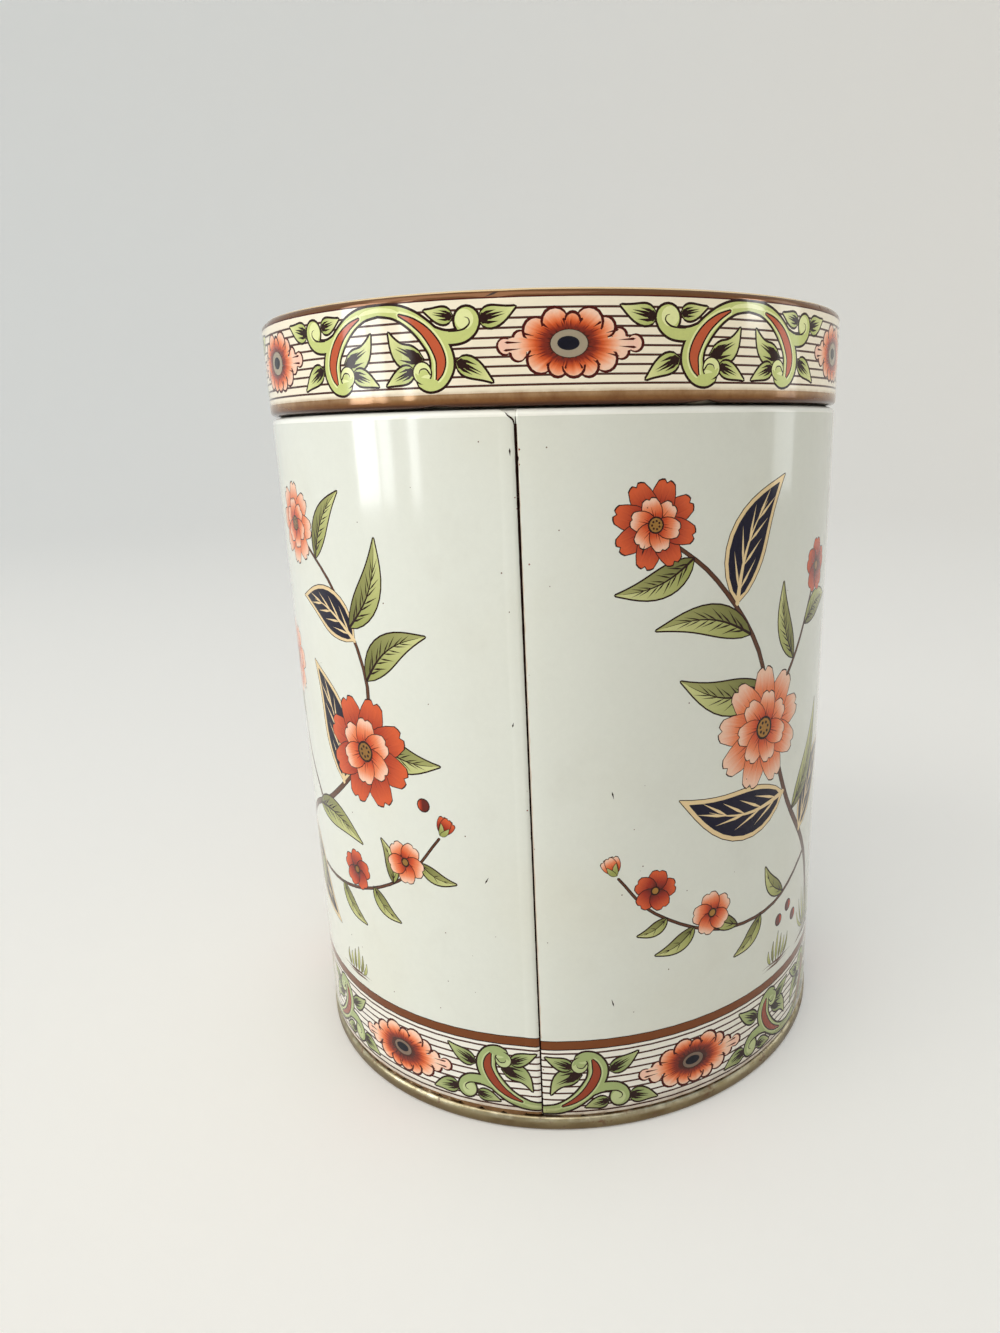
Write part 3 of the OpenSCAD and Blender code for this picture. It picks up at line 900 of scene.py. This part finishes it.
def drawWall():
    art.clear()
    w = wallPrint
    ends = (-w["over"], turn + w["over"])
    band = lambda low, high, ink: ruled(((low + high) / 2,), high - low, *ends, ink)
    band(0.5, 16.2, "borderGround")
    ruled([w["topLine"] - w["linePitch"] * k for k in range(9)] + [w["lowLine"]], w["line"], *ends)
    band(15.95, 17.75, "line")
    band(16.15, 17.6, "copper")
    band(0.5, 3.35, "footGold")
    for k in range(w["repeats"] + 1):
        placed(scrollPair, k * turn / w["repeats"], w["scrollZ"], 1, -w["stretch"])
    for k in range(w["repeats"]):
        placed(lambda: rosette(w["eye"], "ringDark"), (k + 0.5) * turn / w["repeats"], w["flowerZ"],
               w["stretch"], w["stretch"])
    for i, (ink, pts, own) in enumerate(art):  # the print runs a little askew, so its ends miss at the seam
        pts = pts.copy()
        pts[:, 1] += w["slant"] * (2 * np.clip(pts[:, 0] / turn, 0, 1) - 1)
        art[i] = (w["inks"].get(ink, ink), pts, own)
    for spray, at, way in ((tallSpray, 0, 1), (lowSpray, turn, -1), (lowSpray, w["secondPair"], 1),
                           (tallSpray, turn - w["secondPair"], -1)):
        placed(lambda: drawSpray(spray), at, sx=way)
    for x, z, dx, dz in w["scuffs"]:
        spike("line", (x % turn, z), (x % turn + dx, z + dz), 0.26)
    for k in range(26):  # rust along the seam
        x = chance.gauss(0, 0.35)
        disc("rust", (x % turn, chance.uniform(4, 112)), chance.uniform(0.05, 0.16), n=7)
    for k in range(40):  # specks
        disc("stem", (chance.gauss(0, 22) % turn, chance.uniform(19, 113)), chance.uniform(0.05, 0.13), n=6)
    low, top = wall["panelLow"] + 0.03, wall["panelTop"] - wall["cut"][0][1] + 0.1
    heights = np.linspace(17.9, top, 100)
    ragged = 0.26 + 0.07 * np.sin(heights * 1.7) * np.sin(heights * 0.61) + 0.04 * np.sin(heights * 4.3)
    paint("seamStain", np.vstack([np.stack([ragged, heights], 1), [(-2, top), (-2, 17.9)]]))
    heights = np.linspace(low, top, 130)  # the groove is open at the top and closes further down
    dark = 0.02 + 0.12 * step01((heights - 62) / 45) + 0.03 * np.sin(heights * 2.3) * np.sin(heights * 0.9)
    paint("line", np.vstack([np.stack([dark, heights], 1), [(-2, top), (-2, low)]]))
    paint("line", np.vstack([np.stack([turn - dark - 0.02, heights], 1), [(turn + 2, top), (turn + 2, low)]]))
    disc("line", (0.12, 108.9), 0.15, 2.2, 9)  # a chip in the groove's edge
    edge = [(turn + 0.2, wall["panelTop"] - 2.65, 0.34)]
    for (back, down), wide in zip(wall["cut"], wall["cutLine"]):
        edge.append((turn - back, wall["panelTop"] - max(down, 0.06), wide))
    stroke("line", edge, perSpan=3)  # the cut corner's edge
    return list(art)


def seamColumns(bend):  # steps of the sheet's way into the seam, from the outside in
    start = bend + wall["slit"]
    return [start - bend * math.pi / 2 * k / 6 for k in range(7)] + [start - bend * math.pi / 2 - wall["tail"]]


def stitched(a, b):  # triangles between two rows of points that rise together
    faces, i, j = [], 0, 0
    while i < len(a) - 1 or j < len(b) - 1:
        if j == len(b) - 1 or (i < len(a) - 1 and a[i + 1][2] <= b[j + 1][2]):
            faces.append((i, len(a) + j, i + 1))
            i += 1
        else:
            faces.append((i, len(a) + j, len(a) + j + 1))
            j += 1
    return faces


def wallShell():  # all of the wall's sheet but its printed face
    mid = wallR - sheet / 2
    heel = mid - foot["drawn"]
    knee, stepR, bend, neck, curl = wall["knee"], wall["stepR"], foot["bend"], wall["neckR"], wall["curlR"]
    line = sheetLine((heel + 2 * pitch, wall["hookTop"]), (heel + pitch, wall["hookLow"], pitch, 0, -180),
                     (heel + bend, foot["low"], bend, 180, 90), (mid - bend, foot["low"] + foot["drawn"], bend, 270, 360),
                     (mid, wall["lockLow"] - 0.4), (mid, wall["lockLow"]), (mid, 40), (mid, 76),
                     (mid, wall["lockTop"]), (mid, wall["lockTop"] + 0.4),
                     (mid - stepR, knee, stepR, 0, 90), (mid - stepR, knee + 2 * stepR, stepR, 270, 180),
                     (neck, 120), (neck - curl, wall["curlZ"], curl, 0, wall["curlTurn"]))
    inner, outer = sheetSides(line)
    rise = next(i for i, p in enumerate(line) if abs(p[0] - heel) < 1e-3)
    upper = [p for p in outer if p[1] > brow[1] - 0.02 and p[0] < brow[0] - 0.02]
    outline = [brow] + [tuple(p) for p in [*upper, *inner[::-1], *outer[:rise + 1]]]
    shell = spun("wallShell", outline + [(wallR - foot["drawn"], wall["panelLow"])])
    for v in shell.data.vertices:  # the locked seam stands in from the inner face
        r, z = math.hypot(v.co.x, v.co.y) / mm, v.co.z / mm
        a = (math.atan2(v.co.y, v.co.x) - seamAt) * wallR
        locked = wall["lockLow"] - 0.1 < z < wall["lockTop"] + 0.1 and abs(a) < wall["lockHalf"] + 0.05
        if locked and abs(r - (mid - sheet / 2)) < 0.01:
            f = 1 - wall["lockDepth"] / r
            v.co.x *= f
            v.co.y *= f
    paintFaces(shell, lambda r, z: "insideTin")
    return shell


def makeWall():
    fine, coarse = ringColumns()
    low, top = wall["panelLow"], wall["panelTop"]
    right = seamColumns(wall["tuckR"])[::-1] + [x for x in fine if x > 0.8]
    left = [turn - x for x in fine[::-1] if x > 0.8] + [turn - x for x in seamColumns(wall["foldR"])]
    columns = right + coarse + left
    rows = [low, 2.0, 2.4, 2.6, 2.8, 3.2] + list(np.linspace(19, 109, 16)) + [112, wall["knee"], 114.7, 115.1, 115.5, top]
    outline = [(x, low) for x in columns] + [(columns[-1], z) for z in rows[1:-1]]
    outline += [(x, top) for x in columns[::-1]] + [(columns[0], z) for z in rows[1:-1][::-1]]
    nearSeam = [x for x in columns[1:-1] if x < 2.7 or x > turn - 2.7]
    spots = [(x, z) for i, x in enumerate(coarse) for z in rows[1:-1] if i % 2 == 0 or z > 110]
    flat, tris, inkAt, shapes = printPanel(outline, spots, drawWall(), [[(x, z) for z in rows] for x in nearSeam])
    shapes = shapes + [("wallPale", None, plainMap)]  # painted highlight: the shoulder's ground painted paler where it turns up to the light
    inkAt[(inkAt < 0) & (flat[tris][:, :, 1].mean(1) > wall["knee"])] = len(shapes) - 1
    parts = [panelPiece("wallSkin", (flat, tris, inkAt, shapes), wallPoint, "wallGround")]
    ends = []
    for x in (columns[0], columns[-1]):  # both edges of the sheet, met at the bottom of the seam
        z = np.sort(flat[np.abs(flat[:, 0] - x) < 1e-4, 1])
        ends.append(wallPoint(np.full(len(z), x), z))
    verts, faces = np.vstack(ends), stitched(*ends)
    lit = [f for f in faces if verts[list(f), 2].min() > wall["knee"] - 0.6]
    parts.append(facePiece("seamRoot", verts, [f for f in faces if f not in lit], "line"))
    parts.append(facePiece("seamHead", verts, lit, "wallGround"))
    for z, reach, (edgeR, edgeZ) in ((top, 6, brow), (low, 2, (wallR - foot["drawn"], low))):  # closes the seam
        around = [seamAt + k * fineStep for k in range(-reach, 3)]
        ring = [(edgeR * math.cos(a), edgeR * math.sin(a), edgeZ) for a in around]
        path = [x for x in columns if x < 2 * fineStep * wallR - 1e-6][::-1]
        path += [x for x in columns if x > turn - reach * fineStep * wallR + 1e-6][::-1]
        ring += [tuple(p) for p in wallPoint(np.array(path), np.full(len(path), z))]
        parts.append(facePiece("seamEnd", ring, [tuple(range(len(ring)))], "wallGround"))
    return finishShell(parts + [wallShell()], "bodyWall", wallPoint)


bodyWall = makeWall()
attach(bodyWall, "tin")
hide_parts("body_wall")
print("body wall made:", sum(len(f.vertices) - 2 for f in bodyWall.data.polygons), "triangles")


# base plate: panel with a raised middle, folded round the foot of the wall
base = dict(pad=39.65, padZ=4.24, padBend=0.35, panelZ=3.54, panelBend=0.9, heelBend=0.4, toeBend=0.55, chuckLow=1.5,
            bead=0.5, beadZ=1.5, beadHigh=0.86, tuckZ=2.20, tuckBend=0.16, hookLow=0.8,
            chuck=wallR - foot["drawn"] - sheet / 2 - pitch, rim=wallR - foot["drawn"] - sheet / 2 + 3 * pitch)


def makeBase():
    c, rim, pad, bend = base["chuck"], base["rim"], base["pad"], base["padBend"]
    padZ, deep, heel, toe, bead = base["padZ"], base["panelBend"], base["heelBend"], base["toeBend"], base["bead"]
    crest = [(rim - bead + bead * math.cos(a), base["beadZ"] + base["beadHigh"] * math.sin(a))
             for a in np.radians(np.arange(0, 89, 18))]
    line = sheetLine((0.0, padZ), (pad * 0.5, padZ), (pad, padZ - bend, bend, 90, 0),
                     (pad + 2 * bend, padZ - bend, bend, 180, 270), (c - deep, base["panelZ"] - deep, deep, 90, 0),
                     (c, base["chuckLow"]), (c + heel, heel + sheet / 2, heel, 180, 270),
                     (rim - toe, toe + sheet / 2, toe, 270, 360), *crest,
                     (rim - bead, base["tuckZ"], base["tuckBend"], 90, 180), (rim - 2 * pitch, base["hookLow"]))
    upper, lower = sheetSides(line)
    shell = spun("basePlate", [(max(r, 0.0), z) for r, z in [*upper, *lower[::-1]]])
    paintFaces(shell, lambda r, z: "rimTin" if r > 48 or z < 3.0 else "insideTin")
    return finishShell([shell], "basePlate")


basePlate = makeBase()
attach(basePlate, "tin")
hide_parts("base_plate")
print("base made")


# lid: sunk panel, rim, printed skirt and the curl along its lower edge
lid = dict(edgeR=1.1, skirtLow=117.17, curlR=0.61, curlZ=116.35, panelR=45.8, panelZ=129.06, panelBend=0.4,
           dents=((-2.3, 129.4, 2.4, 0.9, 0.30), (26.2, 116.3, 2.6, 1.3, 0.28), (-52, 129.6, 3.0, 0.8, 0.15)),
           nicks=((26.9, 1.4, 0.42), (-10.9, 1.8, 0.24)))  # along the curl: place, half width, lift
lidPrint = dict(over=2.6, repeats=6, line=0.29, topLine=127.54, linePitch=1.165, scrollX=-18.8, scrollDrop=1.3,
                flowerX=7.36, flowerZ=123.14,
                # the edge's gold band carries a painted dark reflection
                bands=((117.0, 117.3, "curlGold"), (128.78, 128.95, "petalLine"), (128.95, 129.78, "edgeGold"),
                       # the pale band over the bent top edge is a painted highlight
                       (129.78, 130.30, "paleGold")),
                rings=((42.6, "gold"), (41.6, "lidGround"), (40.9, "line"), (40.6, "lidGround"), (35.2, "gold"),
                       (34.7, "lidGround")))  # round the medallion


def offset(x, at):  # the short way round the tin
    return (x - at + turn / 2) % turn - turn / 2


def lidDent(x, z):  # knocks in the lid's edges
    return sum(depth * np.exp(-(offset(x, dx) / wx) ** 2 - ((z - dz) / wz) ** 2)
               for dx, dz, wx, wz, depth in lid["dents"])


def curlLift(x, z):  # nicks that push the curl up from below
    lifted = sum(lift * math.exp(-(offset(x, at) / wide) ** 2) for at, wide, lift in lid["nicks"])
    return lifted * min(max(lid["curlZ"] + 0.3 - z, 0), 1)


def lidPoint(x, s):  # up the skirt and over the bent edge
    knee = topZ - lid["edgeR"]
    a = np.clip((s - knee) / lid["edgeR"], 0, math.pi / 2)
    r = lidR - lid["edgeR"] * (1 - np.cos(a))
    z = np.minimum(s, knee) + lid["edgeR"] * np.sin(a)
    r = r - lidDent(x, z)
    t = seamAt + x / wallR
    return np.stack([r * np.cos(t), r * np.sin(t), z], -1)


def drawSkirt():
    art.clear()
    w = lidPrint
    ends = (-w["over"], turn + w["over"])
    ruled([w["topLine"] - w["linePitch"] * k for k in range(9)], w["line"], *ends)
    for low, high, ink in w["bands"]:
        ruled(((low + high) / 2,), high - low, *ends, ink)
    for k in range(-2, w["repeats"] + 1):
        placed(scrollPair, w["scrollX"] + k * turn / w["repeats"], topZ - w["scrollDrop"])
        placed(rosette, w["flowerX"] + k * turn / w["repeats"], w["flowerZ"])
    spike("line", (turn - 3.4, 128.98), (turn - 1.5, 129.7), 0.34, 0.6)  # painted shade along the crease of the dent in the edge
    return list(art)


def drawTop():  # medallion of the lid's top, about its middle
    art.clear()
    at = lambda r, a: (r * math.cos(a), r * math.sin(a))
    for k in range(8):
        a = k * math.pi / 4
        b = a + math.pi / 8
        gardenLeaf(at(9, a), at(26, a), 7, 0.0)
        navyLeaf(at(10, b), at(22, b), 4.6, 0.0)
        smallFlower(at(27, b), 4.0, a, "petalDeep" if k % 2 else "petal")
        berries(at(31, a))
    blossom((0, 0), 12, 10, "petal", 0.1, "petalDeep")
    return list(art)


def makeLid():
    fine, coarse = ringColumns()
    around = sorted(set(round(x % turn, 6) for x in [-x for x in fine[:0:-1]] + fine + coarse))
    top = topZ - lid["edgeR"] + lid["edgeR"] * math.pi / 2
    rows = [lid["skirtLow"], 119.5, 122, 124.5, 127, 128.3, 128.75, 129.1, 129.45, 129.8, 130.1, 130.4, top]
    around.append(turn)
    outline = [(x, rows[0]) for x in around] + [(turn, z) for z in rows[1:-1]]
    outline += [(x, top) for x in around[::-1]] + [(0.0, z) for z in rows[1:-1][::-1]]
    spots = [(x, z) for i, x in enumerate(around[1:-1]) for z in rows[1:-1] if i % 2 or z > 128]
    skirt = panelPiece("lidSkirt", printPanel(outline, spots, drawSkirt()), lidPoint, "lidGround")
    angles = np.array(around[:-1]) / wallR + seamAt
    circle = lambda r, angles: [(r * math.cos(a), r * math.sin(a)) for a in angles]
    spots = [p for r in (42, 36, 30, 22, 12) for p in circle(r, angles[::6])]
    rings = [(ink, np.array(circle(r, angles[::2])), plainMap) for r, ink in lidPrint["rings"]]
    face = lid["panelZ"] + sheet / 2
    medallion = panelPiece("lidTop", printPanel(circle(lid["panelR"], angles), spots, rings + drawTop()),
                           lambda x, y: np.stack([x, y, np.full(len(x), face)], -1), "lidGround")
    medallion.data.attributes.remove(medallion.data.attributes["flatPlace"])
    mid, rimR = lidR - sheet / 2, lidR - lid["edgeR"]
    panelR, panelZ, bend, curl = lid["panelR"], lid["panelZ"], lid["panelBend"], lid["curlR"]
    line = sheetLine((0.0, panelZ), (panelR * 0.5, panelZ), (panelR, panelZ + bend, bend, 270, 360),
                     (panelR + 2 * bend, panelZ + bend, bend, 180, 90),
                     (rimR, topZ - lid["edgeR"], lid["edgeR"] - sheet / 2, 90, 0),
                     (mid, 122), (mid - curl, lid["curlZ"], curl, 0, -270))
    outer, inner = sheetSides(line)
    rim = [tuple(p) for p in outer if p[1] > panelZ and panelR + 1e-6 < p[0] < rimR - 1e-6]
    low = [tuple(p) for p in outer if p[1] < lid["skirtLow"] - 0.02]
    upper = spun("lidRim", [(panelR, face)] + rim + [(rimR, topZ)])
    lower = spun("lidCurl", [(lidR, lid["skirtLow"])] + low + [(max(r, 0.0), z) for r, z in inner[::-1]])
    for o in (upper, lower):
        for v in o.data.vertices:
            r, z = math.hypot(v.co.x, v.co.y) / mm, v.co.z / mm
            if r > 46:
                a = (math.atan2(v.co.y, v.co.x) - seamAt) * wallR
                f = 1 - lidDent(a, z) / r
                v.co.x *= f
                v.co.y *= f
                v.co.z += curlLift(a, z) * mm
    paintFaces(upper, lambda r, z: "lidGround")
    # the curl takes the gold with painted shade and reflection by height
    paintFaces(lower, lambda r, z: "curlGold" if z < lid["skirtLow"] and r > 48.9 else "insideTin")
    return finishShell([skirt, medallion, upper, lower], "lidShell", lidPoint)


lidShell = makeLid()
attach(lidShell, "lid")
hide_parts("lid_shell")
print("lid made:", sum(len(f.vertices) - 2 for f in lidShell.data.polygons), "triangles")


# floor, light and camera
stage = dict(paint=(242, 240, 236), radius=1.7, sweep=0.7, height=1.5, glow=0.16, aim=0.06, paneAway=0.72)


def makeFloor():  # floor that sweeps up all round into a plain backdrop
    flat = stage["radius"] - stage["sweep"]
    line = [(0, 0), (flat * 0.3, 0)]
    for k in range(11):
        a = math.radians(9 * k)
        line.append((flat + stage["sweep"] * math.sin(a), stage["sweep"] * (1 - math.cos(a))))
    line.append((stage["radius"], stage["height"]))
    me = bpy.data.meshes.new("floor")
    me.from_pydata([(r, 0, z) for r, z in line], [(i, i + 1) for i in range(len(line) - 1)], [])
    floor = addObject("floor", me)
    editAll(floor, lambda: bpy.ops.mesh.spin(steps=96, angle=2 * math.pi, center=(0, 0, 0), axis=(0, 0, 1)),
            lambda: bpy.ops.mesh.select_all(action="SELECT"), lambda: bpy.ops.mesh.remove_doubles(threshold=0.0001))
    selectOnly(floor)
    bpy.ops.object.shade_smooth()
    mat, tree, shader = blankFinish("floorPaint")
    shader.inputs["Base Color"].default_value = tone(*stage["paint"])
    shader.inputs["Roughness"].default_value = 0.7
    path = addNode(tree, "LightPath")  # paler to the eye, with no more light on the tin
    seen = sums(tree, "MAXIMUM", path.outputs["Is Camera Ray"], path.outputs["Is Glossy Ray"])
    shader.inputs["Emission Color"].default_value = (1, 0.99, 0.98, 1)
    tree.links.new(sums(tree, "MULTIPLY", seen, stage["glow"]), shader.inputs["Emission Strength"])
    floor.data.materials.append(mat)


def litOnly(name, *objs):  # what a window pane lights, so that it leaves no glare on the floor
    lit = bpy.data.collections.new(name)
    for o in objs:
        lit.objects.link(o)
    return lit


def areaLamp(name, azimuth, height, distance, sizeX, sizeZ, power, colour, lit=None):
    lamp = bpy.data.lights.new(name, "AREA")
    lamp.shape = "RECTANGLE"
    lamp.color = colour
    lamp.size, lamp.size_y, lamp.energy = sizeX, sizeZ, power
    o = addObject(name, lamp)
    a = math.radians(azimuth)
    o.location = (distance * math.cos(a), distance * math.sin(a), height)
    o.rotation_euler = (Vector((0, 0, stage["aim"])) - Vector(o.location)).to_track_quat("-Z", "Y").to_euler()
    if lit:
        o.light_linking.receiver_collection = lit


def makeWorld():
    world = bpy.context.scene.world or bpy.data.worlds.new("studio")
    bpy.context.scene.world = world
    world.use_nodes = True
    tree = world.node_tree
    sky = tree.nodes["Background"]
    path = addNode(tree, "LightPath")
    seen = sums(tree, "MAXIMUM", path.outputs["Is Camera Ray"], path.outputs["Is Glossy Ray"])
    way = addNode(tree, "SeparateXYZ")
    tree.links.new(addNode(tree, "TexCoord").outputs["Generated"], way.inputs[0])
    cool = remap(tree, way.outputs[0], -0.3, 0.6)  # cooler from the right
    tree.links.new(blendTones(tree, cool, (1.06, 1.02, 0.94, 1), (0.66, 0.83, 0.98, 1)), sky.inputs["Color"])
    tree.links.new(sums(tree, "MULTIPLY_ADD", seen, 0.15, 0.60), sky.inputs["Strength"])


def makeCamera():
    shot = dict(away=169.55, height=112.3, pitch=15.7, roll=-1.24, pan=1.326, turned=6.102,
                focal=871.84, middle=(582.09, 675.81), picture=(1000, 1333))
    tip, roll, pan = (math.radians(shot[k]) for k in ("pitch", "roll", "pan"))
    forward = Vector((math.sin(pan) * math.cos(tip), math.cos(pan) * math.cos(tip), -math.sin(tip)))
    level = Vector((math.cos(pan), -math.sin(pan), 0))
    up = level.cross(forward)
    right = level * math.cos(roll) + up * math.sin(roll)
    upright = up * math.cos(roll) - level * math.sin(roll)
    place = Matrix((right, upright, -forward)).transposed().to_4x4()
    place.translation = Vector((0, -shot["away"] * mm, shot["height"] * mm))
    cam = addObject("camera", bpy.data.cameras.new("camera"))
    cam.matrix_world = Matrix.Rotation(math.radians(shot["turned"]), 4, "Z") @ place
    w, h = shot["picture"]
    cam.data.sensor_width = 36
    cam.data.lens = 36 * shot["focal"] / h
    cam.data.shift_x = (w / 2 - shot["middle"][0]) / h
    cam.data.shift_y = (shot["middle"][1] - h / 2) / h
    cam.data.clip_start = 0.005
    bpy.context.scene.camera = cam


makeFloor()
makeWorld()
daylight, lampLight = (0.94, 0.98, 1.0), (1.0, 0.965, 0.90)
tinOnly, lidOnly = litOnly("tinOnly", bodyWall, basePlate, lidShell), litOnly("lidOnly", lidShell)
for name, azimuth, wide, power in (("paneOuter", -158.1, 0.142, 1.36), ("paneMiddle", -148.9, 0.072, 0.48),
                                   ("paneInner", -136.8, 0.052, 0.40), ("paneRight", 12, 0.17, 0.36)):
    areaLamp(name, azimuth, 0.262, stage["paneAway"], wide, 0.44, power, daylight, tinOnly)
areaLamp("paneHigh", -6.7, 0.292, stage["paneAway"], 0.11, 0.18, 0.80, daylight, lidOnly)
areaLamp("overhead", -118, 0.80, 0.60, 1.3, 0.5, 3.7, lampLight)
makeCamera()
bpy.context.scene.view_settings.view_transform = "Standard"
print("stage set")
